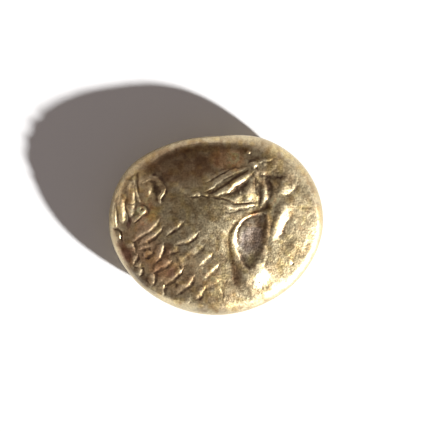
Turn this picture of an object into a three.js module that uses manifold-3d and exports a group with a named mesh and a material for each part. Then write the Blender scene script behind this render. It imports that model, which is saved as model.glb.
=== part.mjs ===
// A small, thick ancient coin of pale gold, lying on its reverse with the obverse up.
//
// The obverse carries a lion's head facing right with open jaws; the reverse carries two square
// incuse punches side by side. Millimetres, +Z up, +X the way the lion looks, +Y towards the top of
// its head. The coin is one struck lump, so it is one mesh: a fine grid for the obverse and a coarser
// one for the reverse, laid over the same rounded outline, with the punches cut out of the result.

import Module from "manifold-3d";
import * as THREE from "three";
import { mergeVertices } from "three/addons/utils/BufferGeometryUtils.js";

const { clamp, degToRad, lerp, smoothstep } = THREE.MathUtils;

// ---- the blank ----------------------------------------------------------------------------------

// Distance from the middle of the coin to its edge every 30 degrees, anticlockwise from +X.
const EDGE_RADII = [6.45, 6.4, 5.98, 5.4, 5.7, 6.45, 6.58, 6.1, 5.65, 5.5, 5.6, 6.02];

const WAIST = 1.9; // height of the widest outline above the table
const WAIST_BAND = 0.3; // height of the upright band round it
const SHOULDER_RISE = 1.15; // how far the rounded shoulder rises above the band
const SHOULDER_POWER = 6; // higher is a tighter shoulder
const BLANK_DOME = 1.15; // swell of the unstruck blank in the middle, above the shoulder
const FOOT_DROP = 2.4; // depth of the underside's curve below the band, before the table cuts it flat
const FOOT_POWER = 3.2; // higher is a tighter foot

// ---- the struck face ----------------------------------------------------------------------------

const FACE_TOP = { at: [-0.7, 0.9], height: 3.75 }; // highest place of the plain struck face
const FACE_FALL = [0.021, 0.021]; // fall of the face away from there along X and Y, mm per mm squared
const FACE_BLEND = [0.1, 0.85]; // least and most softness of the crease between face and shoulder
const SOFT_SIDE = -42; // direction in which the crease is softest, degrees anticlockwise from +X
const SOFT_POWER = 4; // higher keeps the soft crease closer to that side, and to the edge
const DETAIL_FADE = [0.05, 0.3]; // relief starts and is whole this far in from the outline

// Broad rounded swells and hollows: middle, half-length, half-width, turn in degrees, height.
const BROAD = {
  cheek: { at: [-1.0, 0.7], half: [4.3, 3.7], turn: 0, rise: 0.34 },
  field: { at: [-1.4, 4.7], half: [5.2, 2.7], turn: 3, rise: -0.5 },
  mane: { at: [-4.6, -3.4], half: [4.4, 2.2], turn: -48, rise: -0.35 },
  leftSide: { at: [-7.4, 0.6], half: [2.7, 4.4], turn: 0, rise: -0.5 },
  lowCheek: { at: [-0.3, -3.4], half: [2.0, 1.7], turn: -30, rise: 0.09 },
};
// The rounded forms of the head, in the same way.
const SWELLS = {
  brow: { at: [1.4, 2.7], half: [2.0, 1.1], turn: 34, rise: 0.1 },
  eyeSocket: { at: [1.25, 2.15], half: [1.05, 0.45], turn: 32, rise: -0.1 },
  eyeball: { at: [1.98, 1.9], half: [0.7, 0.55], turn: 100, rise: 0.14 },
  temple: { at: [-1.3, 1.85], half: [0.4, 0.28], turn: 12, rise: 0.06 },
  foreheadKnot: { at: [2.18, 3.62], half: [0.42, 0.36], turn: -20, rise: 0.1 },
  nose: { at: [4.0, 2.5], half: [1.0, 0.75], turn: -15, rise: 0.16 },
  muzzle: { at: [3.5, 0.6], half: [2.2, 0.9], turn: 68, rise: 0.14 },
  muzzleFold: { at: [4.02, 0.8], half: [1.15, 0.65], turn: 60, rise: 0.12 },
  muzzleTail: { at: [3.66, -0.2], half: [1.45, 0.5], turn: 70, rise: 0.09 },
  lowerJaw: { at: [2.22, -2.95], half: [1.35, 1.15], turn: 62, rise: 0.2 },
  chinBead: { at: [4.33, -2.2], half: [0.3, 0.3], turn: 0, rise: 0.04 },
  ear: { at: [-4.0, 2.35], half: [0.85, 0.75], turn: 20, rise: 0.16 },
  earHollow: { at: [-3.84, 2.28], half: [0.55, 0.42], turn: 105, rise: -0.22 },
  curl: { at: [-4.58, 0.85], half: [0.42, 0.4], turn: 0, rise: 0.12 },
  margin: { at: [-6.4, 1.3], half: [2.4, 1.25], turn: 86, rise: 0.26 },
  edgePellet: { at: [-6.0, -0.62], half: [0.4, 0.34], turn: 80, rise: 0.14 },
};

// Sunk leaf shapes: points that the middle runs through, half-width, and depth and width of the curved
// walls on the left and the right of its course.
const PITS = {
  mouth: {
    through: [[2.95, 0.7], [2.28, -0.25], [2.08, -1.2], [2.0, -2.75]],
    half: 1.0,
    depth: [0.12, 0.26],
    wall: [0.6, 0.45],
  },
};
const PIT_FULLNESS = 0.75; // lower is a blunter leaf

// Plain ridges and grooves: points that the line runs through, half-width at its start and end, and
// height as a share of the half-width.
const RIDGES = {
  lidCrease: {
    through: [[-0.35, 1.7], [0.4, 1.56], [1.3, 1.27], [2.2, 1.32]],
    half: [0.32, 0.32],
    rise: -0.25,
  },
  noseBridge: {
    through: [[2.1, 3.6], [2.45, 2.9], [2.88, 2.3], [2.95, 1.75], [2.62, 1.1]],
    half: [0.41, 0.32],
    rise: 0.38,
  },
  bridgeGroove: {
    through: [[2.95, 2.75], [3.2, 2.1], [3.05, 1.2]],
    half: [0.43, 0.41],
    rise: -0.34,
  },
  lipGroove: {
    through: [[3.1, 1.12], [2.1, 0.62], [1.18, 0.05], [0.74, -0.85], [0.95, -2.3]],
    half: [0.45, 0.35],
    rise: -0.25,
  },
  outerFold: {
    through: [[-5.85, 1.9], [-5.75, 2.4], [-5.5, 2.85], [-5.1, 3.05]],
    half: [0.36, 0.34],
    rise: 0.33,
  },
  neckFold: {
    through: [[-5.28, 0.5], [-5.18, 1.4], [-5.22, 2.5]],
    half: [0.34, 0.34],
    rise: 0.38,
  },
  middleFold: {
    through: [[-5.75, 0.1], [-5.75, 0.8], [-5.85, 1.7]],
    half: [0.32, 0.32],
    rise: 0.33,
  },
  foreheadRay: {
    through: [[2.35, 3.7], [2.8, 3.85], [3.4, 4.0]],
    half: [0.38, 0.32],
    rise: 0.29,
  },
  neckCrack: {
    through: [[-4.82, 3.0], [-4.85, 2.5], [-4.75, 1.9]],
    half: [0.32, 0.32],
    rise: -0.36,
  },
  earFold: {
    through: [[-3.25, 2.45], [-3.2, 2.1], [-3.5, 1.65], [-3.45, 1.3]],
    half: [0.32, 0.32],
    rise: 0.29,
  },
};

// Ledges: the line runs down a steep flank on its right side, below a gentle rise on its left. Points,
// half-width at start and end, height as a share of it, and depth of the groove beyond as a share of that.
const LEDGES = {
  upperLid: {
    through: [[-0.4, 1.72], [0.4, 1.96], [1.1, 2.42], [2.1, 3.08]],
    half: [0.5, 0.7],
    rise: 0.19,
    groove: 0.5,
  },
  browRidge: {
    through: [[-0.75, 1.95], [0.2, 2.55], [0.8, 2.95], [1.7, 3.4]],
    half: [0.5, 0.5],
    rise: 0.17,
    groove: 0.5,
  },
  outerBrow: {
    through: [[-0.75, 2.5], [-0.1, 2.87], [0.7, 3.32]],
    half: [0.49, 0.49],
    rise: 0.12,
    groove: 0.5,
  },
  lowerLid: {
    through: [[0.3, 1.2], [1.3, 1.0], [2.5, 1.18]],
    half: [0.5, 0.5],
    rise: 0.12,
    groove: 0.2,
  },
  noseWing: {
    through: [[3.4, 1.98], [4.1, 1.93], [4.62, 2.25], [4.75, 2.75]],
    half: [0.5, 0.5],
    rise: 0.15,
    groove: 0,
  },
  jaw: {
    through: [[2.75, -2.6], [2.95, -1.9], [2.95, -1.2]],
    half: [0.6, 0.5],
    rise: 0.09,
    groove: 0,
  },
  earRim: {
    through: [[-4.6, 2.5], [-4.1, 2.76], [-3.5, 2.6]],
    half: [0.5, 0.5],
    rise: 0.17,
    groove: 0.3,
  },
  curlTail: {
    through: [[-5.1, 0.1], [-4.7, 0.4], [-4.4, 0.85]],
    half: [0.5, 0.5],
    rise: 0.14,
    groove: 0.4,
  },
};

// Locks of the mane, each a ledge: middle, length, heading in degrees, bend, strength.
const LOCKS = {
  cheek: [
    [-2.5, -0.2, 1.35, 40, 0.03, 1.0],
    [-1.8, -0.82, 1.45, 29, -0.12, 1.3],
    [-1.22, -1.53, 1.15, 35, -0.05, 0.9],
    [-0.68, -2.1, 1.1, 46, 0.0, 1.1],
    [-0.37, -2.77, 1.1, 43, -0.03, 1.3],
    [-0.35, -3.55, 1.1, 25, -0.03, 0.8],
    [-1.0, -4.15, 0.95, 55, -0.03, 1.2],
  ],
  neck: [
    [-4.25, -0.3, 1.95, 42, -0.1, 1.1],
    [-3.95, -0.68, 1.7, 42, -0.12, 1.1],
    [-4.33, -1.43, 0.65, 20, 0.0, 0.7],
    [-3.45, -1.7, 1.25, 66, -0.03, 1.6],
    [-3.3, -2.5, 1.3, 35, -0.06, 1.0],
    [-2.6, -3.15, 1.5, 40, -0.03, 1.1],
    [-1.95, -3.65, 1.55, 42, -0.1, 1.1],
  ],
  border: [
    [-5.07, -1.3, 0.6, 106, 0.0, 0.9],
    [-4.97, -2.13, 0.6, 60, 0.0, 1.0],
    [-4.7, -2.8, 0.7, 84, -0.05, 1.2],
    [-3.92, -3.3, 0.7, 84, -0.1, 1.2],
    [-3.28, -3.95, 0.6, 82, 0.0, 1.2],
  ],
};
const LOCK_HALF = [0.52, 0.56]; // half-width of a lock at its lower and upper end
const LOCK_RISE = 0.13; // height of its crest as a share of the half-width
const LOCK_GROOVE = 0.6; // depth of the groove beside it as a share of that height

const LEDGE_CREST = -0.2; // where a ledge is highest, in half-widths from its line
const LEDGE_GROOVE = 0.35; // and where the groove beyond is deepest
const TAPER = 0.22; // share of a line's length over which it narrows at each end
const TAPER_KEEP = 0.4; // share of its width that is left at the very end

// ---- the reverse --------------------------------------------------------------------------------

// Square punches: middle, width at the mouth, depth, turn in degrees.
const PUNCHES = [
  { at: [-1.95, 0.15], width: 3.3, depth: 0.7, turn: 4 },
  { at: [1.85, -0.1], width: 3.1, depth: 0.6, turn: -3 },
];
const PUNCH_TAPER = 0.8; // width of a punch's floor as a share of its mouth

// ---- the mesh -----------------------------------------------------------------------------------

const OBVERSE_CELLS = 60; // grid cells across the obverse
const REVERSE_CELLS = 30; // and across the plainer reverse, half as many
const EDGE_CLOSING = 0.14; // how much the cells close up towards the edge
const LINE_STEPS = 14; // straight steps in each line of the relief

// ---- heights ------------------------------------------------------------------------------------

// Value of a smooth closed curve through evenly spaced values, at a share from 0 to 1 of the way round.
function around(values, share) {
  const count = values.length;
  const place = (((share % 1) + 1) % 1) * count;
  const i = Math.floor(place);
  const t = place - i;
  const [a, b, c, d] = [-1, 0, 1, 2].map((k) => values[(i + k + count) % count]);
  return b + 0.5 * t * (c - a + t * (2 * a - 5 * b + 4 * c - d + t * (3 * (b - c) + d - a)));
}

// A smooth hump that is 1 in the middle and 0 from t = 1 outwards.
const hump = (t) => (t < 1 ? (1 - t * t) ** 2 : 0);

// Across a ledge, in half-widths from its line: a gentle rise from -1 to the crest, a steep fall
// through the line itself, and a groove beyond.
function ledge(t, groove) {
  const slope = t < LEDGE_CREST ? 1 + LEDGE_CREST : -2 * LEDGE_CREST;
  const crest = hump(Math.abs(t - LEDGE_CREST) / slope);
  return crest - groove * hump(Math.abs(t - LEDGE_GROOVE) / LEDGE_GROOVE);
}

function swellHeight({ at, half, turn, rise }, x, y) {
  const a = degToRad(turn);
  const along = (x - at[0]) * Math.cos(a) + (y - at[1]) * Math.sin(a);
  const across = (y - at[1]) * Math.cos(a) - (x - at[0]) * Math.sin(a);
  return rise * hump(Math.hypot(along / half[0], across / half[1]));
}

// Nearest place on a sampled line: distance from it, negative on its left, and share of its length.
function nearest(samples, x, y) {
  let best = { away: Infinity };
  for (let i = 1; i < samples.length; i++) {
    const [p, q] = [samples[i - 1], samples[i]];
    const [dx, dy] = [q.x - p.x, q.y - p.y];
    const t = clamp(((x - p.x) * dx + (y - p.y) * dy) / (dx * dx + dy * dy), 0, 1);
    const away = Math.hypot(x - p.x - t * dx, y - p.y - t * dy);
    if (away < best.away) {
      const left = (y - p.y) * dx - (x - p.x) * dy > 0;
      best = { away, offset: left ? -away : away, share: (i - 1 + t) / (samples.length - 1) };
    }
  }
  return best;
}

// A smooth line through a few points, as a row of samples.
function sampled(through) {
  const curve = new THREE.SplineCurve(through.map(([x, y]) => new THREE.Vector2(x, y)));
  return curve.getPoints(LINE_STEPS);
}

// A lock's two ends, and its middle pushed sideways by the bend.
function lockLine(x, y, length, heading, bend) {
  const a = degToRad(heading);
  const [alongX, alongY] = [(Math.cos(a) * length) / 2, (Math.sin(a) * length) / 2];
  const middle = [x - Math.sin(a) * bend, y + Math.cos(a) * bend];
  return [[x - alongX, y - alongY], middle, [x + alongX, y + alongY]];
}

// Every line of the relief: its samples, half-widths, rise, and the profile across it.
const lines = [
  ...Object.values(RIDGES).map(({ through, half, rise }) => {
    return { samples: sampled(through), half, rise, profile: (t) => hump(Math.abs(t)) };
  }),
  ...Object.values(LEDGES).map(({ through, half, rise, groove }) => {
    return { samples: sampled(through), half, rise, profile: (t) => ledge(t, groove) };
  }),
  ...Object.values(LOCKS).flat().map(([x, y, length, heading, bend, strength]) => {
    const samples = sampled(lockLine(x, y, length, heading, bend));
    const rise = LOCK_RISE * strength;
    return { samples, half: LOCK_HALF, rise, profile: (t) => ledge(t, LOCK_GROOVE) };
  }),
];

// Height of one line, which narrows and sinks towards its ends.
function lineHeight({ samples, half, rise, profile }, x, y) {
  const { offset, share } = nearest(samples, x, y);
  const ends = smoothstep(share, 0, TAPER) * smoothstep(1 - share, 0, TAPER);
  const width = lerp(...half, share) * lerp(TAPER_KEEP, 1, ends);
  return rise * width * profile(offset / width);
}

const pits = Object.values(PITS).map((pit) => ({ ...pit, samples: sampled(pit.through) }));

// Depth of a leaf shape, pointed at both ends, with walls that curve into its floor.
function pitDepth({ samples, half, depth, wall }, x, y) {
  const { offset, share } = nearest(samples, x, y);
  const width = half * Math.sin(Math.PI * share) ** PIT_FULLNESS;
  const across = (1 + clamp(offset / half, -1, 1)) / 2;
  const inside = clamp((width - Math.abs(offset)) / lerp(...wall, across), 0, 1);
  return lerp(...depth, across) * (1 - (1 - inside) ** 2);
}

// Sum of the heights, or depths, of many shapes at one place.
const total = (shapes, height, x, y) => shapes.reduce((sum, shape) => sum + height(shape, x, y), 0);

// Height of everything struck onto the plain face.
function relief(x, y) {
  const swells = total(Object.values(SWELLS), swellHeight, x, y);
  return swells + total(lines, lineHeight, x, y) - total(pits, pitDepth, x, y);
}

// The smaller of two heights, rounded off where they cross.
const smaller = (a, b, softness) => 0.5 * (a + b - Math.hypot(a - b, softness));

// Height of the obverse: the struck face where it lies lower than the blank, and the blank's own
// shoulder round it. Reach is 0 in the middle and 1 on the outline; turn is a share of a full turn.
function obverse(x, y, reach, radius, turn) {
  const shoulder = SHOULDER_RISE * Math.sqrt(1 - reach ** SHOULDER_POWER);
  const blank = WAIST + WAIST_BAND / 2 + shoulder + BLANK_DOME * (1 - reach ** 2);
  const [dx, dy] = [x - FACE_TOP.at[0], y - FACE_TOP.at[1]];
  const plain = FACE_TOP.height - FACE_FALL[0] * dx ** 2 - FACE_FALL[1] * dy ** 2;
  const struck = plain + total(Object.values(BROAD), swellHeight, x, y);
  const facing = Math.max(Math.cos(turn * 2 * Math.PI - degToRad(SOFT_SIDE)), 0);
  const softness = lerp(...FACE_BLEND, facing ** SOFT_POWER);
  const blend = softness * reach ** SOFT_POWER * (1 - reach ** SHOULDER_POWER);
  const fade = smoothstep(radius * (1 - reach), ...DETAIL_FADE);
  return smaller(blank, struck, blend) + fade * relief(x, y);
}

// Height of the reverse: a curve down from the waist, cut flat by the table.
function reverse(x, y, reach) {
  return Math.max(0, WAIST - WAIST_BAND / 2 - FOOT_DROP * Math.sqrt(1 - reach ** FOOT_POWER));
}

// ---- solids -------------------------------------------------------------------------------------

// Share of a full turn at which a point of a square ring lies, measured as even steps along the ring.
function ringTurn(a, b) {
  if (a === 0 && b === 0) return 0;
  const eighth = Math.abs(a) >= Math.abs(b) ? b / a : -a / b;
  const quarter = Math.abs(a) >= Math.abs(b) ? (a > 0 ? 0 : 2) : b > 0 ? 1 : 3;
  return (quarter + eighth / 2) / 4;
}

// A square grid squeezed onto the outline: its square rings become rings of the coin's own shape.
function face(cells, heightAt) {
  const points = [];
  for (let j = 0; j <= cells; j++) {
    for (let i = 0; i <= cells; i++) {
      const [a, b] = [(2 * i) / cells - 1, (2 * j) / cells - 1];
      const ring = Math.max(Math.abs(a), Math.abs(b));
      const reach = ring * (1 + EDGE_CLOSING * (1 - ring ** 3));
      const turn = ringTurn(a, b);
      const radius = around(EDGE_RADII, turn);
      const x = reach * radius * Math.cos(turn * 2 * Math.PI);
      const y = reach * radius * Math.sin(turn * 2 * Math.PI);
      points.push(x, y, heightAt(x, y, reach, radius, turn));
    }
  }
  return points;
}

// Two triangles for each cell, facing up; the diagonal keeps clear of the squeezed corners.
function faceTriangles(cells) {
  const triangles = [];
  for (let j = 0; j < cells; j++) {
    for (let i = 0; i < cells; i++) {
      const p = j * (cells + 1) + i;
      const q = p + cells + 1;
      if (i < cells / 2 === j < cells / 2) {
        triangles.push(p, p + 1, q + 1, p, q + 1, q);
      } else {
        triangles.push(p, p + 1, q, p + 1, q + 1, q);
      }
    }
  }
  return triangles;
}

// Indices of a grid's border, anticlockwise from its lower left corner.
function border(cells) {
  const at = (i, j) => j * (cells + 1) + i;
  const steps = [...Array(cells).keys()];
  return [
    ...steps.map((i) => at(i, 0)),
    ...steps.map((j) => at(cells, j)),
    ...steps.map((i) => at(cells - i, cells)),
    ...steps.map((j) => at(0, cells - j)),
  ];
}

// The struck lump without its punches.
function lumpGeometry() {
  const top = face(OBVERSE_CELLS, obverse);
  const bottom = face(REVERSE_CELLS, reverse);
  const first = top.length / 3;
  const upper = border(OBVERSE_CELLS);
  const lower = border(REVERSE_CELLS).map((i) => first + i);
  const band = lower.flatMap((low, k) => {
    const nextLow = lower[(k + 1) % lower.length];
    const [left, middle, right] = [0, 1, 2].map((step) => upper[(2 * k + step) % upper.length]);
    return [low, middle, left, low, nextLow, middle, nextLow, right, middle];
  });
  const underside = faceTriangles(REVERSE_CELLS).map((i) => first + i);
  const geometry = new THREE.BufferGeometry();
  geometry.setAttribute("position", new THREE.Float32BufferAttribute([...top, ...bottom], 3));
  geometry.setIndex([...faceTriangles(OBVERSE_CELLS), ...underside.reverse(), ...band]);
  return geometry;
}

// A square prism that widens downwards and pokes out below the table.
function punchGeometry({ at, width, depth, turn }) {
  const below = 0.5;
  const mouth = width / Math.SQRT2;
  const flare = (mouth * (1 - PUNCH_TAPER) * below) / depth;
  const prism = new THREE.CylinderGeometry(mouth * PUNCH_TAPER, mouth + flare, depth + below, 4);
  prism.rotateY(Math.PI / 4);
  prism.rotateX(Math.PI / 2);
  prism.rotateZ(degToRad(turn));
  prism.translate(at[0], at[1], (depth - below) / 2);
  return prism;
}

const wasm = await Module();
wasm.setup();

function toSolid(geometry) {
  geometry.deleteAttribute("normal");
  geometry.deleteAttribute("uv");
  const merged = mergeVertices(geometry);
  return new wasm.Manifold(
    new wasm.Mesh({
      numProp: 3,
      vertProperties: new Float32Array(merged.attributes.position.array),
      triVerts: new Uint32Array(merged.index.array),
    }),
  );
}

function toGeometry(solid) {
  const { vertProperties, triVerts } = solid.getMesh();
  const geometry = new THREE.BufferGeometry();
  geometry.setAttribute("position", new THREE.BufferAttribute(vertProperties, 3));
  geometry.setIndex(new THREE.BufferAttribute(triVerts, 1));
  geometry.computeVertexNormals();
  return geometry;
}

const punched = PUNCHES.reduce(
  (solid, punch) => solid.subtract(toSolid(punchGeometry(punch))),
  toSolid(lumpGeometry()),
);

const paleGold = new THREE.MeshStandardMaterial({ color: 0xc9ad72, roughness: 0.38, metalness: 1 });
const coin = new THREE.Mesh(toGeometry(punched), paleGold);
coin.name = "coin";

// The origin is on the table, under the middle of the coin's outline.
const box = new THREE.Box3().setFromObject(coin);
const middle = box.getCenter(new THREE.Vector3());
coin.position.set(-middle.x, -middle.y, -box.min.z);

const part = new THREE.Group();
part.add(coin);

export default part;
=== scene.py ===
"""A small ancient coin of pale gold, seen from straight above as it lies on a white table.

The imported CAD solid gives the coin's size and place. This script builds the finished surface in its
stead, from the same outline, swells and ridges at a finer grid, with the worn grain of the metal on top.
Lengths in the tables below are millimetres from the middle of the coin, +X the way the lion looks.
"""

import math

import bpy
import numpy as np
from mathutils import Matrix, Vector


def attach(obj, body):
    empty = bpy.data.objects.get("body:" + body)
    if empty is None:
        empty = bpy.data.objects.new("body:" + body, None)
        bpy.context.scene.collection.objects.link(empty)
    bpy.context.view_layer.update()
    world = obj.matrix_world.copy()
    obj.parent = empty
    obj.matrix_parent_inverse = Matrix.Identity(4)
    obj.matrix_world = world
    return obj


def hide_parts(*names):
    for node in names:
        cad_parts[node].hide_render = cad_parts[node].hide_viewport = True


MM = 0.001

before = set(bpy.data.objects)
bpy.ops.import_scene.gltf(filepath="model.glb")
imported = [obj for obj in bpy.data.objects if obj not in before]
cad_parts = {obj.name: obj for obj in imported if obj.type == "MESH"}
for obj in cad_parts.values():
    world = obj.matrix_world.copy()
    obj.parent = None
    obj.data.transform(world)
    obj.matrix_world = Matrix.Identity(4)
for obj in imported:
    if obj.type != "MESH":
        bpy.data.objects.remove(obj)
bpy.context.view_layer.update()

# ---- the blank ----------------------------------------------------------------------------------

# Distance from the middle of the coin to its edge every 30 degrees, anticlockwise from +X.
EDGE_RADII = [6.45, 6.4, 5.98, 5.4, 5.7, 6.45, 6.58, 6.1, 5.65, 5.5, 5.6, 6.02]

WAIST = 1.9  # height of the widest outline above the table
WAIST_BAND = 0.3  # height of the upright band round it
SHOULDER_RISE = 1.15  # how far the rounded shoulder rises above the band
SHOULDER_POWER = 6  # higher is a tighter shoulder
BLANK_DOME = 1.15  # swell of the unstruck blank in the middle, above the shoulder
FOOT_DROP = 2.4  # depth of the underside's curve below the band, before the table cuts it flat
FOOT_POWER = 3.2  # higher is a tighter foot

# ---- the struck face ----------------------------------------------------------------------------

FACE_TOP = ((-0.7, 0.9), 3.75)  # highest place of the plain struck face, and its height
FACE_FALL = (0.021, 0.021)  # fall of the face away from there along X and Y, mm per mm squared
FACE_BLEND = (0.1, 0.85)  # least and most softness of the crease between face and shoulder
SOFT_SIDE = -42  # direction in which the crease is softest, degrees anticlockwise from +X
SOFT_POWER = 4  # higher keeps the soft crease closer to that side, and to the edge
DETAIL_FADE = (0.05, 0.3)  # relief starts and is whole this far in from the outline

# Broad rounded swells and hollows of the plain face: middle, half-length and half-width, heading of the
# length in degrees anticlockwise from +X, and height.
BROAD = {
    "cheek": ((-1.0, 0.7), (4.3, 3.7), 0, 0.34),
    "field": ((-1.4, 4.7), (5.2, 2.7), 3, -0.5),
    "mane": ((-4.6, -3.4), (4.4, 2.2), -48, -0.35),
    "left side": ((-7.4, 0.6), (2.7, 4.4), 0, -0.5),
    "low cheek": ((-0.3, -3.4), (2.0, 1.7), -30, 0.09),
}
# Smaller ones, which belong to the relief, in the same order.
SWELLS = {
    "brow": ((1.4, 2.7), (2.0, 1.1), 34, 0.08),
    "eye socket": ((1.25, 2.12), (1.05, 0.42), 32, -0.075),
    "eyeball": ((1.98, 1.9), (0.7, 0.55), 100, 0.1),
    "pupil": ((1.33, 1.98), (0.12, 0.12), 0, 0.03),
    "tear duct": ((-0.73, 1.77), (0.22, 0.16), 20, 0.05),
    "temple": ((-1.3, 1.85), (0.32, 0.18), 12, 0.05),
    "forehead knot": ((2.18, 3.62), (0.36, 0.28), -20, 0.08),
    "knot pit": ((2.34, 3.5), (0.12, 0.12), 0, -0.05),
    "forehead bead": ((2.85, 3.67), (0.2, 0.16), 20, 0.03),
    "crown bead": ((1.88, 4.42), (0.2, 0.15), 20, 0.06),
    "nose": ((3.95, 2.5), (0.98, 0.78), -15, 0.1),
    "nose dimple": ((4.6, 2.85), (0.3, 0.2), 60, -0.012),
    "muzzle fold": ((4.0, 0.75), (1.2, 0.6), 60, 0.09),
    "muzzle tail": ((3.66, -0.2), (1.45, 0.42), 70, 0.07),
    "muzzle": ((3.5, 0.6), (2.2, 0.9), 68, 0.12),
    "lower jaw": ((2.08, -3.05), (1.35, 1.15), 60, 0.14),
    "chin bead": ((4.33, -2.2), (0.18, 0.22), 0, 0.018),
    "chin dot": ((4.5, -2.36), (0.1, 0.1), 0, -0.035),
    "jaw pit": ((2.55, -3.45), (0.14, 0.08), 20, -0.02),
    "front pit": ((5.15, 1.0), (0.12, 0.12), 0, -0.02),
    "ear": ((-4.0, 2.35), (0.85, 0.75), 20, 0.14),
    "ear hollow": ((-3.82, 2.28), (0.68, 0.48), 112, -0.16),
    "ear bead": ((-4.2, 2.0), (0.34, 0.22), 60, 0.04),
    "curl": ((-4.58, 0.85), (0.38, 0.34), 0, 0.1),
    "curl hole": ((-4.58, 0.9), (0.13, 0.11), 30, -0.12),
    "margin": ((-6.4, 1.3), (2.4, 1.25), 86, 0.26),
    "edge pellet": ((-6.06, -0.62), (0.38, 0.3), 80, 0.07),
}

# Sunk leaf shapes: points that the middle runs through, half-width, depth on the left and the right of its
# course, and width of the curved walls there.
PITS = {
    "mouth": (((2.95, 0.62), (2.22, -0.3), (2.02, -1.2), (2.0, -2.7)), 1.0, (0.03, 0.08), (0.5, 0.13)),
}

PIT_FULLNESS = 0.75  # lower is a blunter leaf

# Plain ridges and grooves: points that the line runs through, half-width at its start and end, and
# height as a share of the half-width.
RIDGES = {
    "lid groove": (((-0.5, 1.88), (0.5, 2.4), (1.8, 3.25)), (0.12, 0.2), -0.35),
    "lid crease": (((-0.35, 1.7), (0.4, 1.56), (1.3, 1.27), (2.2, 1.32)), (0.1, 0.1), -0.4),
    "cheek crease": (((0.3, 0.75), (1.0, 0.82), (1.6, 0.85)), (0.08, 0.08), -0.2),
    "temple crease": (((-1.6, 1.66), (-1.2, 1.64), (-0.95, 1.7), (-0.5, 1.6)), (0.09, 0.07), -0.5),
    "eye edge": (((2.28, 2.75), (2.36, 2.2), (2.44, 1.75)), (0.09, 0.09), -0.25),
    "nose bridge": (((2.1, 3.6), (2.45, 2.9), (2.88, 2.3), (2.95, 1.75), (2.62, 1.1)), (0.24, 0.18), 0.19),
    "bridge groove": (((2.95, 2.75), (3.2, 2.1), (3.0, 1.2)), (0.28, 0.26), -0.24),
    "inner groove": (((2.5, 2.4), (2.62, 1.8), (2.5, 1.2)), (0.14, 0.14), -0.32),
    "forehead ray": (((2.4, 3.74), (2.8, 3.86), (3.35, 4.0)), (0.14, 0.12), 0.26),
    "nose top": (((2.8, 2.95), (3.4, 2.9), (4.1, 2.95)), (0.35, 0.22), -0.16),
    "neck crack": (((-4.8, 3.1), (-4.83, 2.5), (-4.73, 1.9)), (0.17, 0.13), -0.6),
    "ear squiggle": (((-3.25, 2.45), (-3.2, 2.1), (-3.5, 1.65), (-3.45, 1.3)), (0.14, 0.12), 0.55),
    "beaded line": (((-4.98, 2.3), (-4.85, 1.85), (-4.68, 1.4)), (0.14, 0.12), 0.55),
    "edge groove": (((-5.45, 1.0), (-5.3, 0.5), (-5.25, 0.05)), (0.14, 0.16), -0.5),
    "lip groove": (
        ((3.1, 1.12), (2.1, 0.62), (1.18, 0.05), (0.74, -0.85), (0.95, -2.3)),
        (0.34, 0.15),
        -0.06,
    ),
    "block groove": (((-5.35, 1.25), (-5.0, 1.25)), (0.1, 0.1), -0.4),
    "fold hollow": (((-5.2, 2.8), (-5.15, 2.4)), (0.2, 0.2), -0.4),
    "outer fold": (((-5.85, 1.9), (-5.75, 2.4), (-5.5, 2.85), (-5.1, 3.05)), (0.36, 0.3), 0.32),
    "neck fold": (((-5.28, 0.5), (-5.18, 1.4), (-5.22, 2.5)), (0.3, 0.34), 0.36),
    "middle fold": (((-5.75, 0.1), (-5.75, 0.8), (-5.85, 1.7)), (0.28, 0.32), 0.34),
    "edge fold": (((-6.18, -0.2), (-6.28, 0.5), (-6.3, 1.3), (-6.1, 2.0)), (0.22, 0.26), 0.36),
    "pellet moat": (((-6.3, -0.22), (-5.86, -0.42), (-5.76, -0.95)), (0.13, 0.13), -0.6),
}

# Ledges: a gentle rise on the left of the line, and a steep drop on its right with a groove at the foot.
# Points, half-width at start and end, height as a share of it, and depth of the groove as a share of that.
LEDGES = {
    "upper lid": (((-0.4, 1.72), (0.4, 1.96), (1.1, 2.4), (2.12, 3.12)), (0.24, 0.7), 0.072, 0.45),
    "brow ridge": (((-0.75, 1.95), (0.2, 2.55), (0.8, 2.95), (1.7, 3.4)), (0.3, 0.35), 0.11, 0.5),
    "outer brow": (((-0.75, 2.5), (-0.1, 2.87), (0.7, 3.32)), (0.22, 0.22), 0.1, 0.5),
    "lower lid": (((0.3, 1.2), (1.3, 1.0), (2.5, 1.18)), (0.3, 0.36), 0.07, 0.2),
    "nose wing": (((3.5, 1.9), (4.1, 1.9), (4.6, 2.15), (4.78, 2.7)), (0.36, 0.36), 0.03, 0.0),
    "jaw": (((2.75, -2.6), (2.95, -1.9), (2.95, -1.2)), (0.6, 0.3), 0.03, 0.0),
    "ear rim": (((-4.6, 2.5), (-4.1, 2.76), (-3.5, 2.6)), (0.35, 0.35), 0.13, 0.3),
    "curl tail": (((-5.1, 0.1), (-4.7, 0.4), (-4.4, 0.85)), (0.3, 0.28), 0.12, 0.4),
    "collar": (((0.05, -3.6), (0.27, -4.05), (0.35, -4.5)), (0.2, 0.2), -0.05, 0.0),
}

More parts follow.
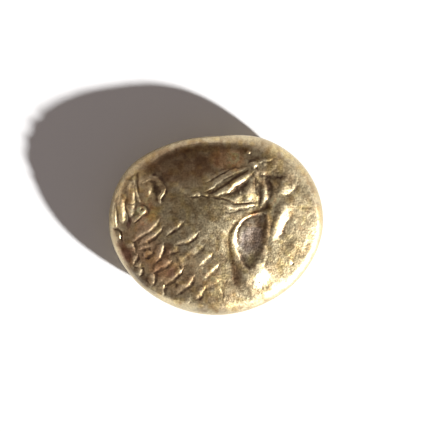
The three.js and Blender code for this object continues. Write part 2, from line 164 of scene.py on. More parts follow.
# Locks of the mane, each a ledge: middle, length, heading in degrees, bend, and strength.
LOCKS = {
    "cheek": (
        ((-2.5, -0.2), 1.35, 40, 0.03, 1.4),
        ((-1.8, -0.82), 1.45, 29, -0.12, 1.5),
        ((-1.22, -1.53), 1.15, 35, -0.05, 0.9),
        ((-0.68, -2.1), 1.1, 46, 0.0, 1.1),
        ((-0.37, -2.77), 1.1, 43, -0.03, 1.3),
        ((-0.35, -3.55), 1.1, 25, -0.03, 0.8),
        ((-1.0, -4.15), 0.95, 55, -0.03, 1.2),
        ((-1.67, -4.6), 0.5, 75, -0.06, 0.8),
    ),
    "neck": (
        ((-4.25, -0.3), 1.95, 42, -0.1, 1.9),
        ((-3.95, -0.68), 1.7, 42, -0.12, 1.9),
        ((-4.33, -1.43), 0.65, 20, 0.0, 1.3),
        ((-4.17, -1.87), 0.5, 40, 0.0, 1.4),
        ((-3.45, -1.7), 1.25, 66, -0.03, 2.0),
        ((-3.3, -2.5), 1.3, 35, -0.06, 1.6),
        ((-2.6, -3.15), 1.5, 40, -0.03, 1.5),
        ((-1.95, -3.65), 1.55, 42, -0.1, 1.4),
        ((-2.42, -3.6), 0.5, -60, 0.06, 1.0),
        ((-2.65, -1.66), 0.55, 10, 0.1, 1.0),
        ((-2.25, -2.2), 0.75, -75, 0.03, 0.7),
    ),
    "border": (
        ((-5.07, -1.3), 0.6, 106, 0.0, 1.7),
        ((-4.97, -2.13), 0.6, 60, 0.0, 1.7),
        ((-4.8, -2.54), 0.35, -12, 0.03, 1.4),
        ((-4.68, -2.85), 0.6, 84, -0.05, 1.5),
        ((-3.92, -3.3), 0.7, 84, -0.1, 1.7),
        ((-3.32, -3.82), 0.3, 10, 0.0, 1.0),
        ((-3.28, -4.0), 0.6, 82, 0.0, 1.4),
    ),
}
LOCK_HALF = (0.42, 0.46)  # half-width of a lock at its lower and upper end
LOCK_RISE = 0.055  # height of its crest as a share of the half-width
LOCK_GROOVE = 0.55  # depth of the groove beside it as a share of that height

LEDGE_CREST = -0.2  # where a ledge is highest, in half-widths from its line
LEDGE_GROOVE = 0.35  # and where the groove beyond is deepest
TAPER = 0.22  # share of a line's length over which it narrows at each end
TAPER_KEEP = 0.4  # share of its width that is left at the very end
LINE_STEPS = 14  # straight steps in each line

# Uneven wear: (size of its humps, how far it shifts the relief sideways) and (size, height).
SHIFTS = ((0.9, 0.06), (0.35, 0.04), (0.16, 0.025))
LUMPS = ((1.6, 0.03), (0.6, 0.018), (0.27, 0.0055), (0.13, 0.0025))

# ---- patina, wear, painted shade and painted light ----------------------------------------------

# Patches of patina, of painted shade and of painted light: middle, half-length and half-width, heading,
# colour that the gold is multiplied by.
PATINA_AND_PAINTED_LIGHT = {
    # painted shade over the field, which slopes away from the light, on top of its brown patina
    "brown field": ((-2.2, 3.6), (3.2, 1.6), 6, (0.53, 0.44, 0.41)),
    "red field": ((0.75, 3.95), (1.3, 0.7), 0, (1.55, 1.28, 1.12)),
    "cheek": ((-1.0, 1.3), (2.2, 1.2), 10, (0.86, 0.84, 0.78)),
    "red mane": ((-4.2, -1.6), (2.2, 1.5), -60, (1.02, 0.86, 0.82)),
    "right mane": ((-0.6, -2.7), (1.5, 1.0), -50, (1.2, 1.18, 1.16)),
    "curl": ((-4.7, 0.7), (0.6, 0.35), 50, (1.1, 1.2, 1.2)),
    "low mane": ((-2.6, -2.9), (2.8, 1.6), -30, (1.04, 0.93, 0.86)),
    # painted shade on the side of the forehead
    "forehead side": ((3.5, 3.7), (1.2, 0.65), -35, (0.72, 0.67, 0.6)),
    "left margin": ((-5.65, 1.5), (1.9, 0.8), 84, (1.02, 0.94, 0.84)),
    "neck block": ((-5.2, 1.6), (0.95, 0.22), 90, (1.05, 1.04, 1.0)),
    "upper left rim": ((-4.4, 3.7), (3.2, 0.6), 48, (1.08, 1.06, 1.0)),
    "left border": ((-5.5, -1.7), (1.1, 0.5), -65, (0.5, 0.34, 0.34)),
    "ear": ((-4.2, 2.0), (1.1, 1.1), 0, (1.16, 1.08, 0.96)),
    "yellow neck": ((-3.85, 0.6), (0.7, 0.4), 50, (1.1, 1.04, 0.7)),
    "red neck": ((-4.4, 0.6), (1.3, 0.8), 70, (1.3, 1.04, 0.94)),
    "left notch": ((-5.3, 0.15), (0.55, 0.25), 75, (0.5, 0.38, 0.42)),
    "mouth": ((2.05, -0.85), (1.75, 0.95), 78, (0.58, 0.56, 0.72)),
    # painted shade in the eye, on the eyeball's side away from the light
    "eye": ((1.3, 2.2), (0.7, 0.32), 36, (0.62, 0.54, 0.5)),
    # painted shade across the mouth, and painted light on the left of its floor
    "mouth shade": ((2.45, -0.8), (1.3, 0.45), 80, (0.66, 0.62, 0.6)),
    "mouth glow": ((1.45, -0.95), (0.95, 0.22), 82, (1.35, 1.42, 1.6)),
    "mouth end": ((2.05, -2.05), (0.6, 0.35), 75, (0.72, 0.7, 0.56)),
    # painted shade in the mouth's upper corner, on its right wall and on the upper side of the nose, and
    # dimming the jaw's highlight
    "mouth corner": ((2.3, 0.72), (0.6, 0.24), 28, (0.5, 0.38, 0.36)),
    "mouth wall": ((3.0, -0.3), (1.4, 0.3), 82, (0.9, 0.78, 0.66)),
    "muzzle root": ((3.2, 2.6), (1.2, 0.7), -10, (0.66, 0.62, 0.58)),
    "jaw": ((2.65, -3.25), (0.8, 0.6), 70, (0.76, 0.79, 0.88)),
    "mane notch": ((-3.0, -1.55), (0.85, 0.32), 66, (0.64, 0.57, 0.56)),
    "mane shade": ((-1.95, -1.5), (0.9, 0.35), 30, (0.74, 0.75, 0.8)),
    "mane gap": ((-2.7, -2.85), (0.5, 0.32), 60, (0.7, 0.6, 0.64)),
    # painted shade on the throat's steep side; painted light beside the chin and on the top of the muzzle
    "throat": ((1.15, -3.1), (1.15, 0.42), 98, (0.55, 0.44, 0.4)),
    "chin side": ((1.1, -4.5), (0.9, 0.6), -40, (1.1, 1.1, 1.12)),
    "muzzle top": ((3.45, 1.4), (0.7, 0.45), 60, (1.4, 1.4, 1.36)),
    "right side": ((5.1, 1.3), (2.2, 0.8), 86, (1.16, 1.15, 1.12)),
    # painted shade on the low right, and dimming the reflections on the rim
    "right low": ((4.4, -1.5), (1.5, 0.9), 60, (0.66, 0.63, 0.57)),
    "right rim": ((5.9, 1.6), (2.4, 0.5), 95, (0.92, 0.92, 0.94)),
    "lower rim": ((-1.5, -5.4), (4.5, 0.6), -5, (0.66, 0.69, 0.78)),
    "left rim": ((-5.0, -3.5), (3.4, 0.7), -47, (0.5, 0.5, 0.56)),
}
# Places with a matt surface: the same, with how matt they are in place of the colour.
MATT = {
    "left margin": ((-5.6, 1.5), (2.1, 0.9), 84, 2.0),
    "upper left rim": ((-4.3, 3.8), (3.2, 0.6), 48, 0.8),
    "forehead edge": ((4.6, 3.3), (1.4, 0.7), -48, 0.8),
    "right side": ((5.0, 0.8), (2.2, 0.8), 86, 0.3),
    "neck": ((-4.2, -0.1), (1.2, 0.8), 40, 0.7),
    "ear": ((-4.4, 2.1), (0.9, 0.6), 80, 0.8),
    "right mane": ((-0.7, -2.7), (1.4, 1.0), -50, 0.4),
    "muzzle root": ((3.5, 1.5), (0.7, 0.5), 60, 0.5),
}
MATT_CLEAN = 0.6  # share of the dirt and painted shade that is missing there
PATCH_REACH = 1.1  # where a patch ends, as a share of its half-length and half-width
PATCH_SLOPE = 1.35  # higher is a sharper border

# Painted shade along grooves and creases: points that the line runs through, half-width at its start and
# end, colour as above.
PAINTED_SHADE_LINES = {
    "lip": (
        ((3.1, 1.1), (2.1, 0.64), (1.18, 0.07), (0.72, -0.85), (0.95, -2.3)),
        (0.38, 0.28),
        (0.4, 0.34, 0.27),
    ),
    "lid": (
        ((-0.2, 1.72), (0.5, 1.55), (1.3, 1.27), (2.1, 1.32)),
        (0.1, 0.1),
        (0.5, 0.42, 0.34),
    ),
    "brow": (
        ((-0.4, 1.95), (0.5, 2.44), (1.8, 3.2)),
        (0.16, 0.2),
        (0.5, 0.42, 0.34),
    ),
    "field edge": (
        ((-4.2, 3.4), (-3.0, 4.1), (-1.5, 4.55), (0.3, 4.7), (1.8, 4.5)),
        (0.34, 0.34),
        (0.68, 0.6, 0.55),
    ),
}
# Blotches all over: their size, and the colour that the gold is multiplied by there.
STAINS = (
    (0.5, (0.9, 0.84, 0.78)),
    (0.25, (0.76, 0.7, 0.66)),
    (0.13, (0.86, 0.82, 0.8)),
    (0.35, (1.04, 1.0, 0.84)),
)
STAIN_CONTRAST = 1.4  # higher gives blotches with sharper borders

# Uneven borders of all these: (size of the humps, strength), and how much each kind follows them.
RAGGED = ((0.9, 0.5), (0.3, 0.35))
PATCH_RAGGED = 0.5
STAIN_RAGGED = 0.3
SOIL_AND_SHADE_RAGGED = 0.3
RUB_RAGGED = 0.25
PUNCH_RAGGED = 0.6

GOLD = (0.82, 0.695, 0.43)  # clean metal
SOIL_AND_SHADE = (0.16, 0.10, 0.065)  # brown of the dirt held in the recesses, which also paints shade there
# (size of the surroundings, depth below them at which a place is full of dirt and painted shade)
SOIL_AND_SHADE_DEPTHS = ((0.12, 0.012), (0.4, 0.09))
# How readily high places are rubbed bright: at 1, standing out by as much as those depths is enough.
RUB_SHARES = (0.7, 0.6)
RUBBED_GOLD = (0.9, 0.785, 0.52)  # metal that is rubbed bright
PLAIN_EDGE = 0.04  # share of the way in from the outline over which patina and dirt set in
EDGE_TINT = (0.88, 0.88, 0.88)  # colour multiplier of the edge itself
EDGE_RUB = 0.2  # how far the edge is rubbed bright
LAND_DULLING = 0.12  # how much darker the land round the punches is, on the whole
PUNCH_SOIL = 0.7  # how much dirt lies on the floors of the punches
PUNCH_SOIL_SLOPE = 2  # how fast it sets in with depth, per mm

# Where each kind of unevenness starts its random values.
SEEDS = {"shift x": 10, "shift y": 20, "lumps": 30, "patches": 41, "stains": 45, "reverse": 51}

# ---- the reverse --------------------------------------------------------------------------------

# Square punches: middle, width at the mouth, depth, turn in degrees.
PUNCHES = [((-1.95, 0.15), 3.3, 0.7, 4), ((1.85, -0.1), 3.1, 0.6, -3)]
PUNCH_TAPER = 0.8  # width of a punch's floor as a share of its mouth

# ---- grids --------------------------------------------------------------------------------------

OBVERSE_CELLS = 276  # grid cells across the obverse
REVERSE_CELLS = OBVERSE_CELLS // 2  # and across the plainer reverse
EDGE_CLOSING = 0.14  # how much the cells close up towards the edge
NOISE_CELLS = 64  # cells after which uneven values repeat
BLUR_REACH = 3  # how far a blur looks, in its own widths

# ---- heights ------------------------------------------------------------------------------------


def curved(a, b, c, d, t):
    """A smooth curve from b at t = 0 to c at t = 1, which comes from a and goes on to d."""
    return b + 0.5 * t * (c - a + t * (2 * a - 5 * b + 4 * c - d + t * (3 * (b - c) + d - a)))


def around(values, share):
    """Values of a smooth closed curve through evenly spaced values, at shares 0 to 1 of the way round."""
    count = len(values)
    place = np.mod(share, 1.0) * count
    i = np.floor(place).astype(int)
    ring = np.array(values)
    a, b, c, d = (ring[(i + k) % count] for k in (-1, 0, 1, 2))
    return curved(a, b, c, d, place - i)


def hump(t):
    """1 in the middle and 0 from t = 1 outwards."""
    return np.clip(1 - t * t, 0, None) ** 2


def ledge(t, groove):
    """A gentle rise to a crest, a steep drop through t = 0, and a narrow groove beyond."""
    slope = np.where(t < LEDGE_CREST, 1 + LEDGE_CREST, -2 * LEDGE_CREST)
    crest = hump((t - LEDGE_CREST) / slope)
    return crest - groove * hump((t - LEDGE_GROOVE) / LEDGE_GROOVE)


def smooth(t):
    """0 below 0 and 1 above 1, with a smooth step between."""
    s = np.clip(t, 0, 1)
    return s * s * (3 - 2 * s)


def turned(middle, heading, x, y):
    """Distances from a middle, along and across a heading in degrees."""
    a = math.radians(heading)
    dx, dy = x - middle[0], y - middle[1]
    return dx * math.cos(a) + dy * math.sin(a), dy * math.cos(a) - dx * math.sin(a)


def swell_height(swell, x, y):
    """Height of an oval hump, or of a hollow where it is below 0."""
    middle, (length, width), heading, rise = swell
    along, across = turned(middle, heading, x, y)
    return rise * hump(np.hypot(along / length, across / width))


def spline(through):
    """A smooth open line through a few points, as samples along it."""
    points = np.array(through, float)
    samples = []
    spans = len(points) - 1
    for k in range(LINE_STEPS + 1):
        place = k / LINE_STEPS * spans
        i = min(int(place), spans - 1)
        a, b, c, d = (points[min(max(i + o, 0), spans)] for o in (-1, 0, 1, 2))
        samples.append(curved(a, b, c, d, place - i))
    return np.array(samples)


def nearest(samples, x, y):
    """Distance from a sampled line, negative on its left, and share of its length at the nearest place."""
    best = np.full(x.shape, np.inf)
    offset = np.full(x.shape, np.inf)
    share = np.zeros(x.shape)
    for i in range(len(samples) - 1):
        (px, py), (qx, qy) = samples[i], samples[i + 1]
        dx, dy = qx - px, qy - py
        t = np.clip(((x - px) * dx + (y - py) * dy) / (dx * dx + dy * dy), 0, 1)
        away = np.hypot(x - px - t * dx, y - py - t * dy)
        side = np.where((y - py) * dx - (x - px) * dy > 0, -1, 1)
        closer = away < best
        best = np.where(closer, away, best)
        offset = np.where(closer, away * side, offset)
        share = np.where(closer, (i + t) / (len(samples) - 1), share)
    return offset, share


def near(samples, reach, x, y):
    """Which points lie in the box round a sampled line."""
    low = samples.min(axis=0) - reach
    high = samples.max(axis=0) + reach
    return (x > low[0]) & (x < high[0]) & (y > low[1]) & (y < high[1])


def noise(x, y, cell, seed):
    """Smooth uneven values from -1 to 1, with humps about one cell across."""
    size = NOISE_CELLS
    lattice = np.random.default_rng(seed).uniform(-1, 1, (size, size))
    u, v = x / cell + size / 2, y / cell + size / 2
    i, j = np.floor(u).astype(int), np.floor(v).astype(int)
    s, t = smooth(u - i), smooth(v - j)
    corner = [lattice[(j + dj) % size, (i + di) % size] for dj in (0, 1) for di in (0, 1)]
    low = corner[0] + (corner[1] - corner[0]) * s
    high = corner[2] + (corner[3] - corner[2]) * s
    return low + (high - low) * t


def uneven(x, y, layers, seed):
    """Uneven values in layers of (size of the humps, height), each with a seed of its own."""
    return sum(size * noise(x, y, cell, seed + i) for i, (cell, size) in enumerate(layers))


def add_line(z, through, half, rise, profile, x, y):
    """Adds a line of a given profile across, narrowing and sinking towards its ends."""
    samples = spline(through)
    inside = near(samples, max(half), x, y)
    offset, share = nearest(samples, x[inside], y[inside])
    ends = smooth(share / TAPER) * smooth((1 - share) / TAPER)
    width = (half[0] + (half[1] - half[0]) * share) * (TAPER_KEEP + (1 - TAPER_KEEP) * ends)
    z[inside] += rise * width * profile(offset / width)


def lock_line(middle, length, heading, bend):
    """Three points of a lock: its ends, and its middle pushed sideways by the bend."""
    a = math.radians(heading)
    along = np.array([math.cos(a), math.sin(a)])
    across = np.array([-math.sin(a), math.cos(a)])
    middle = np.array(middle)
    return middle - along * length / 2, middle + across * bend, middle + along * length / 2


def add_pit(z, through, half, depth, wall, x, y):
    """Sinks a leaf shape, pointed at both ends, with walls that curve into its floor."""
    samples = spline(through)
    inside = near(samples, half, x, y)
    offset, share = nearest(samples, x[inside], y[inside])
    width = half * np.sin(np.pi * share) ** PIT_FULLNESS
    across = 0.5 + 0.5 * np.clip(offset / half, -1, 1)
    floor = depth[0] + (depth[1] - depth[0]) * across
    wall = wall[0] + (wall[1] - wall[0]) * across
    z[inside] -= floor * (1 - (1 - np.clip((width - np.abs(offset)) / wall, 0, 1)) ** 2)


def relief(x, y):
    """Height of the lion's head above the plain face."""
    z = np.zeros(x.shape)
    for swell in SWELLS.values():
        z += swell_height(swell, x, y)
    for through, half, depth, wall in PITS.values():
        add_pit(z, through, half, depth, wall, x, y)
    for through, half, rise in RIDGES.values():
        add_line(z, through, half, rise, hump, x, y)
    for through, half, rise, groove in LEDGES.values():
        add_line(z, through, half, rise, lambda t: ledge(t, groove), x, y)
    for row in LOCKS.values():
        for middle, length, heading, bend, strength in row:
            line = lock_line(middle, length, heading, bend)
            add_line(z, line, LOCK_HALF, LOCK_RISE * strength, lambda t: ledge(t, LOCK_GROOVE), x, y)
    return z


def smaller(a, b, softness):
    """The smaller of two heights, with a soft crease where they cross."""
    return 0.5 * (a + b - np.hypot(a - b, softness))


def obverse(x, y, reach, radius, turn):
    """The struck face where it lies lower than the blank, and the blank's own shoulder round it."""
    shoulder = SHOULDER_RISE * np.sqrt(1 - reach**SHOULDER_POWER)
    blank = WAIST + WAIST_BAND / 2 + shoulder + BLANK_DOME * (1 - reach**2)
    (top_x, top_y), top = FACE_TOP
    face = top - FACE_FALL[0] * (x - top_x) ** 2 - FACE_FALL[1] * (y - top_y) ** 2
    face = face + sum(swell_height(swell, x, y) for swell in BROAD.values())
    start, whole = DETAIL_FADE
    fade = smooth((radius * (1 - reach) - start) / (whole - start))
    sharp, soft = FACE_BLEND
    facing = np.clip(np.cos(turn * 2 * np.pi - math.radians(SOFT_SIDE)), 0, None)
    softness = sharp + (soft - sharp) * facing**SOFT_POWER
    blend = softness * reach**SOFT_POWER * (1 - reach**SHOULDER_POWER)
    struck = smaller(blank, face, blend)
    wander_x = uneven(x, y, SHIFTS, SEEDS["shift x"])
    wander_y = uneven(x, y, SHIFTS, SEEDS["shift y"])
    lumps = uneven(x, y, LUMPS, SEEDS["lumps"])
    return struck + fade * (relief(x + wander_x, y + wander_y) + lumps)


def punch_depth(punch, x, y):
    """How deep a square punch with sloping walls goes in."""
    middle, width, depth, heading = punch
    along, across = turned(middle, heading, x, y)
    inside = width / 2 - np.maximum(np.abs(along), np.abs(across))
    wall = width / 2 * (1 - PUNCH_TAPER)
    return depth * smooth(inside / wall)


def reverse(x, y, reach, radius, turn):
    """The underside: a bowl that the table cuts flat, and the two punches in it."""
    bowl = WAIST - WAIST_BAND / 2 - FOOT_DROP * np.sqrt(1 - reach**FOOT_POWER)
    return np.maximum(0, bowl) + sum(punch_depth(punch, x, y) for punch in PUNCHES)


# ---- colours and wear ---------------------------------------------------------------------------


def blurred(values, sigma):
    """A square grid of values smoothed over sigma cells."""
    reach = int(BLUR_REACH * sigma) + 1
    steps = np.arange(-reach, reach + 1)
    kernel = np.exp(-0.5 * (steps / sigma) ** 2)
    kernel /= kernel.sum()
    for axis in (0, 1):
        widths = [(reach, reach) if k == axis else (0, 0) for k in (0, 1)]
        padded = np.pad(values, widths, mode="edge")
        size = values.shape[axis]
        values = sum(w * padded.take(range(k, k + size), axis=axis) for k, w in enumerate(kernel))
    return values


def patch_share(patch, x, y, ragged):
    """How far each point lies within a patch, with a ragged border."""
    middle, (length, width), heading = patch
    along, across = turned(middle, heading, x, y)
    inside = PATCH_REACH - np.hypot(along / length, across / width)
    return smooth(PATCH_SLOPE * inside + PATCH_RAGGED * ragged)


def multiplied(tint, share, colour):
    """Colours multiplied by another one, as far as each point has a share in it."""
    return tint * (1 + share[:, None] * (np.array(colour) - 1))


def obverse_patina_and_shade(points, reach, cells):
    """Colour multiplier with patina, painted shade and painted light, share of dirt and painted shade, and
    how far it is rubbed, at each point of the obverse grid.
    """
    x, y, z = points.T
    inner = smooth((1 - reach) / PLAIN_EDGE)
    ragged = uneven(x, y, RAGGED, SEEDS["patches"])
    tint = np.ones((len(x), 3))
    for cell, colour in STAINS:
        blotches = noise(x, y, cell, SEEDS["stains"])
        share = smooth(STAIN_CONTRAST * blotches + STAIN_RAGGED * ragged)
        tint = multiplied(tint, share, colour)
    for *patch, colour in PATINA_AND_PAINTED_LIGHT.values():
        tint = multiplied(tint, patch_share(patch, x, y, ragged), colour)
    # painted shade along grooves and creases
    for through, half, colour in PAINTED_SHADE_LINES.values():
        offset, along = nearest(spline(through), x, y)
        share = hump(offset / (half[0] + (half[1] - half[0]) * along))
        tint = multiplied(tint, share, colour)
    grid = z.reshape(cells + 1, cells + 1)
    cell_size = 2 * np.mean(EDGE_RADII) / cells
    # dirt and painted shade where a place lies below its blurred surroundings, rubbed bright where it
    # stands above them
    depths = [(blurred(grid, size / cell_size) - grid).ravel() / full for size, full in SOIL_AND_SHADE_DEPTHS]
    heights = [-depth * share for depth, share in zip(depths, RUB_SHARES)]
    dirt_and_shade = smooth(np.maximum(*depths) + SOIL_AND_SHADE_RAGGED * ragged)
    rub = smooth(np.maximum(*heights) + RUB_RAGGED * ragged)
    for *patch, matt in MATT.values():
        share = patch_share(patch, x, y, ragged)
        rub = rub + share * (matt - rub)
        dirt_and_shade = dirt_and_shade * (1 - MATT_CLEAN * share)
    edge = np.array(EDGE_TINT)
    return edge + inner[:, None] * (tint - edge), inner * dirt_and_shade, EDGE_RUB + inner * (rub - EDGE_RUB)


def reverse_patina(points, reach):
    """The same for the reverse, with dirt on the floors of the punches and a duller land round them."""
    x, y, _ = points.T
    inner = smooth((1 - reach) / PLAIN_EDGE)
    sunk = sum(punch_depth(punch, x, y) for punch in PUNCHES)
    ragged = uneven(x, y, RAGGED, SEEDS["reverse"])
    land = np.array(EDGE_TINT) * (1 - LAND_DULLING * inner[:, None] * (1 - ragged[:, None]))
    dirt_and_shade = PUNCH_SOIL * inner * smooth(PUNCH_SOIL_SLOPE * sunk + PUNCH_RAGGED * ragged)
    return land, dirt_and_shade, np.full(len(x), EDGE_RUB)


# ---- mesh ---------------------------------------------------------------------------------------


def ring_turn(a, b):
    """Share of a full turn at which a point of a square ring lies, in even steps along the ring."""
    flat = np.abs(a) >= np.abs(b)
    safe_a = np.where(a == 0, 1, a)
    safe_b = np.where(b == 0, 1, b)
    eighth = np.where(flat, b / safe_a, -a / safe_b)
    quarter = np.where(flat, np.where(a > 0, 0, 2), np.where(b > 0, 1, 3))
    return np.where((a == 0) & (b == 0), 0, (quarter + eighth / 2) / 4)


def face(cells, height_at):
    """A square grid squeezed onto the outline, its cells closing up towards the edge: points and reach."""
    steps = np.linspace(-1, 1, cells + 1)
    a, b = (g.ravel() for g in np.meshgrid(steps, steps))
    ring = np.maximum(np.abs(a), np.abs(b))
    reach = np.minimum(ring * (1 + EDGE_CLOSING * (1 - ring**3)), 1)
    turn = ring_turn(a, b)
    radius = around(EDGE_RADII, turn)
    x = reach * radius * np.cos(turn * 2 * np.pi)
    y = reach * radius * np.sin(turn * 2 * np.pi)
    return np.column_stack([x, y, height_at(x, y, reach, radius, turn)]), reach


def face_cells(cells):
    """The four corners of each cell, facing up."""
    i, j = (g.ravel() for g in np.meshgrid(np.arange(cells), np.arange(cells)))
    p = j * (cells + 1) + i
    return np.column_stack([p, p + 1, p + cells + 2, p + cells + 1])


def border(cells):
    """Indices of a grid's border, anticlockwise from its lower left corner."""
    steps = np.arange(cells)
    row = cells + 1
    sides = [steps, steps * row + cells, cells * row + cells - steps, (cells - steps) * row]
    return np.concatenate(sides)


def edge_band(upper, lower):
    """Triangles that join the obverse's border to the reverse's, which has half as many points."""
    count = len(lower)
    band = []
    for k in range(count):
        left, middle, right = (int(upper[(2 * k + step) % len(upper)]) for step in range(3))
        low, next_low = int(lower[k]), int(lower[(k + 1) % count])
        band += [(low, middle, left), (low, next_low, middle), (next_low, right, middle)]
    return band


def paint(mesh, tint, dirt_and_shade, rub):
    """Gives each point of the mesh the colour of its metal with painted shade and light, its share of dirt
    and painted shade, and how far it is rubbed.
    """
    gold = np.array(GOLD) + rub[:, None] * (np.array(RUBBED_GOLD) - GOLD)
    colours = np.column_stack([np.minimum(tint * gold, 1), np.ones(len(tint))])
    mesh.attributes.new("metal", "FLOAT_COLOR", "POINT").data.foreach_set("color", colours.ravel())
    mesh.attributes.new("dirt_and_shade", "FLOAT", "POINT").data.foreach_set("value", dirt_and_shade)
    mesh.attributes.new("rub", "FLOAT", "POINT").data.foreach_set("value", rub)


def coin_mesh():
    """The whole coin: obverse, reverse and the band between them, centred over the table and painted."""
    top, top_reach = face(OBVERSE_CELLS, obverse)
    bottom, bottom_reach = face(REVERSE_CELLS, reverse)
    first = len(top)
    band = edge_band(border(OBVERSE_CELLS), border(REVERSE_CELLS) + first)
    cells = face_cells(OBVERSE_CELLS).tolist()
    underside = (face_cells(REVERSE_CELLS)[:, ::-1] + first).tolist()
    points = np.concatenate([top, bottom])
    low, high = points.min(axis=0), points.max(axis=0)
    points -= [(low[0] + high[0]) / 2, (low[1] + high[1]) / 2, low[2]]
    mesh = bpy.data.meshes.new("coin")
    mesh.from_pydata((points * MM).tolist(), [], cells + underside + band)
    mesh.polygons.foreach_set("use_smooth", [True] * len(mesh.polygons))
    patina_and_shade = [obverse_patina_and_shade(top, top_reach, OBVERSE_CELLS), reverse_patina(bottom, bottom_reach)]
    paint(mesh, *(np.concatenate(parts) for parts in zip(*patina_and_shade)))
    mesh.update()
    return mesh


# ---- materials ----------------------------------------------------------------------------------

# Sizes of the grains in m, and how finely they are broken up.
FINE_GRAIN = (0.00011, 3)
COARSE_GRAIN = (0.0003, 2)
CLOUD_GRAIN = (0.0016, 3)
GRAIN_SPAN = (0.3, 0.7)  # nearly all of a grain's values lie between these

SPECKLE = (0.76, 1.14)  # darkest and brightest speckle of the fine grain
DIRT_AND_SHADE_COVER = (0.5, 1.05)  # how well the dirt and painted shade cover, at their thinnest and thickest
FINE_ROUGHNESS = (0.31, 0.42)  # roughness of the metal over the fine grain
MATT_ROUGHNESS = 0.32  # what the most matt places add to it; those rubbed bright add half as much
MOST_MATT = 2  # how matt the most matt places are, where 1 is rubbed bright
CLOUD_COLOUR = (0.6, 0.52, 0.48, 1)  # colour that the metal is multiplied by in the clouds
CLOUD_SHARE = 0.24  # how strong the clouds are at most
GRAIN_BUMP = (0.35, 0.00003)  # strength of the grain in relief, and its height in m

TABLE_COLOUR = (0.95, 0.95, 0.95, 1)
TABLE_ROUGHNESS = 0.9


def gold_material():
    """Worn pale gold: coloured by its patina and by painted shade and light, with dirt and painted shade in
    the recesses, and a fine uneven grain.
    """
    material = bpy.data.materials.new("worn_pale_gold")
    material.use_nodes = True
    nodes, links = material.node_tree.nodes, material.node_tree.links
    shader = nodes["Principled BSDF"]
    shader.inputs["Metallic"].default_value = 1.0
    place = nodes.new("ShaderNodeTexCoord").outputs["Object"]

    def attribute(name):
        """What the mesh holds under a name, point by point."""
        node = nodes.new("ShaderNodeAttribute")
        node.attribute_name = name
        return node

    def grain(size, detail):
        """Uneven values from 0 to 1."""
        texture = nodes.new("ShaderNodeTexNoise")
        texture.inputs["Scale"].default_value = 1 / size
        texture.inputs["Detail"].default_value = detail
        links.new(place, texture.inputs["Vector"])
        return texture.outputs["Fac"]

    def spread(value, low, high, span=GRAIN_SPAN):
        """Maps a value's span onto low to high."""
        stretch = nodes.new("ShaderNodeMapRange")
        stretch.inputs["From Min"].default_value = span[0]
        stretch.inputs["From Max"].default_value = span[1]
        stretch.inputs["To Min"].default_value = low
        stretch.inputs["To Max"].default_value = high
        links.new(value, stretch.inputs["Value"])
        return stretch.outputs["Result"]

    def mixed(kind, share, first, second):
        """Two colours mixed or multiplied; a number or colour may stand for each link."""
        mix = nodes.new("ShaderNodeMix")
        mix.data_type = "RGBA"
        mix.blend_type = kind
        for name, value in (("Factor", share), ("A", first), ("B", second)):
            slots = [i for i in mix.inputs if i.name == name and i.type in ("RGBA", "VALUE")]
            slot = slots[0] if name == "Factor" else slots[-1]
            if isinstance(value, bpy.types.NodeSocket):
                links.new(value, slot)
            else:
                slot.default_value = value
        return [o for o in mix.outputs if o.type == "RGBA"][0]

    def combined(operation, first, second):
        """The sum or the product of two values, kept between 0 and 1."""
        result = nodes.new("ShaderNodeMath")
        result.operation = operation
        result.use_clamp = True
        links.new(first, result.inputs[0])
        links.new(second, result.inputs[1])
        return result.outputs["Value"]

    fine = grain(*FINE_GRAIN)
    speckled = mixed("MULTIPLY", 1.0, attribute("metal").outputs["Color"], spread(fine, *SPECKLE))
    darkened = mixed("MULTIPLY", 1.0, speckled, CLOUD_COLOUR)
    clouded = mixed("MIX", spread(grain(*CLOUD_GRAIN), 0.0, CLOUD_SHARE), speckled, darkened)
    cover = spread(grain(*COARSE_GRAIN), *DIRT_AND_SHADE_COVER)
    # dirt, and painted shade, mixed over the metal in the recesses
    dirt_and_shade_share = combined("MULTIPLY", attribute("dirt_and_shade").outputs["Fac"], cover)
    links.new(mixed("MIX", dirt_and_shade_share, clouded, (*SOIL_AND_SHADE, 1)), shader.inputs["Base Color"])
    matt = spread(attribute("rub").outputs["Fac"], 0.0, MATT_ROUGHNESS, (0, MOST_MATT))
    roughness = combined("ADD", spread(fine, *FINE_ROUGHNESS), matt)
    links.new(roughness, shader.inputs["Roughness"])
    bump = nodes.new("ShaderNodeBump")
    strength, height = GRAIN_BUMP
    bump.inputs["Strength"].default_value = strength
    bump.inputs["Distance"].default_value = height
    links.new(fine, bump.inputs["Height"])
    links.new(bump.outputs["Normal"], shader.inputs["Normal"])
    return material


def table_material():
    """Plain matt white."""
    material = bpy.data.materials.new("white_table")
    material.use_nodes = True
    shader = material.node_tree.nodes["Principled BSDF"]
    shader.inputs["Base Color"].default_value = TABLE_COLOUR
    shader.inputs["Roughness"].default_value = TABLE_ROUGHNESS
    return material


# ---- the coin -----------------------------------------------------------------------------------

coin = bpy.data.objects.new("worn_coin", coin_mesh())
coin.data.materials.append(gold_material())
bpy.context.scene.collection.objects.link(coin)
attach(coin, "root")
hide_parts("coin")

# ---- table, light and camera --------------------------------------------------------------------

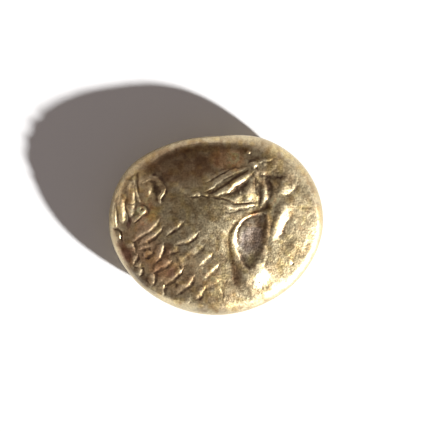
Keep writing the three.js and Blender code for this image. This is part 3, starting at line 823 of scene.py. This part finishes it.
TABLE_SIZE = 2.0  # side of the white table, m
KEY_AZIMUTH = -34.5  # the key light stands towards this side, degrees anticlockwise from +X
KEY_HEIGHT = 24  # and this high above the table, degrees
KEY_DISTANCE = 0.3  # m
KEY_ENERGY = 7.4
KEY_WIDTH = 3  # how wide it looks from the coin, degrees
ROOM_LEVEL = (0.36, 0.312, 0.30, 1)  # colour of the room round the horizon
ROOM_TOP = (0.12, 0.104, 0.10, 1)  # and overhead
VIEW_WIDTH = 26.3 * MM  # width that the camera takes in
VIEW_HEIGHT = 2 * MM  # height above the table at which it is that wide
CLIP = (0.01, 10)  # nearest and farthest thing that the camera sees, m
LENS = 250  # mm
SENSOR = 36  # mm
AIM = Vector((0, 0.55 * MM, 0))  # the camera looks straight down on this point

table_mesh = bpy.data.meshes.new("table")
half = TABLE_SIZE / 2
corners = [(-half, -half, 0), (half, -half, 0), (half, half, 0), (-half, half, 0)]
table_mesh.from_pydata(corners, [], [(0, 1, 2, 3)])
table = bpy.data.objects.new("table", table_mesh)
table.data.materials.append(table_material())
bpy.context.scene.collection.objects.link(table)

key_light = bpy.data.lights.new("key", "SUN")
key_light.energy = KEY_ENERGY
key_light.angle = math.radians(KEY_WIDTH)
key = bpy.data.objects.new("key", key_light)
azimuth, height = math.radians(KEY_AZIMUTH), math.radians(KEY_HEIGHT)
flat = math.cos(height)
towards = Vector((math.cos(azimuth) * flat, math.sin(azimuth) * flat, math.sin(height)))
key.location = towards * KEY_DISTANCE
key.rotation_euler = towards.to_track_quat("Z", "Y").to_euler()
bpy.context.scene.collection.objects.link(key)


def studio_world():
    """A dim room: dark overhead and bright round the horizon."""
    world = bpy.data.worlds.new("studio")
    world.use_nodes = True
    nodes, links = world.node_tree.nodes, world.node_tree.links
    place = nodes.new("ShaderNodeTexCoord")
    split = nodes.new("ShaderNodeSeparateXYZ")
    ramp = nodes.new("ShaderNodeValToRGB")
    links.new(place.outputs["Generated"], split.inputs["Vector"])
    links.new(split.outputs["Z"], ramp.inputs["Fac"])
    for element, height, colour in zip(ramp.color_ramp.elements, (0.0, 1.0), (ROOM_LEVEL, ROOM_TOP)):
        element.position = height
        element.color = colour
    links.new(ramp.outputs["Color"], nodes["Background"].inputs["Color"])
    nodes["Background"].inputs["Strength"].default_value = 1.0
    return world


bpy.context.scene.world = studio_world()
bpy.context.scene.view_settings.view_transform = "Standard"

camera_data = bpy.data.cameras.new("camera")
camera_data.lens = LENS
camera_data.sensor_width = SENSOR
camera = bpy.data.objects.new("camera", camera_data)
camera.location = AIM + Vector((0, 0, VIEW_WIDTH * LENS / SENSOR + VIEW_HEIGHT))
camera_data.clip_start, camera_data.clip_end = CLIP
bpy.context.scene.collection.objects.link(camera)
bpy.context.scene.camera = camera
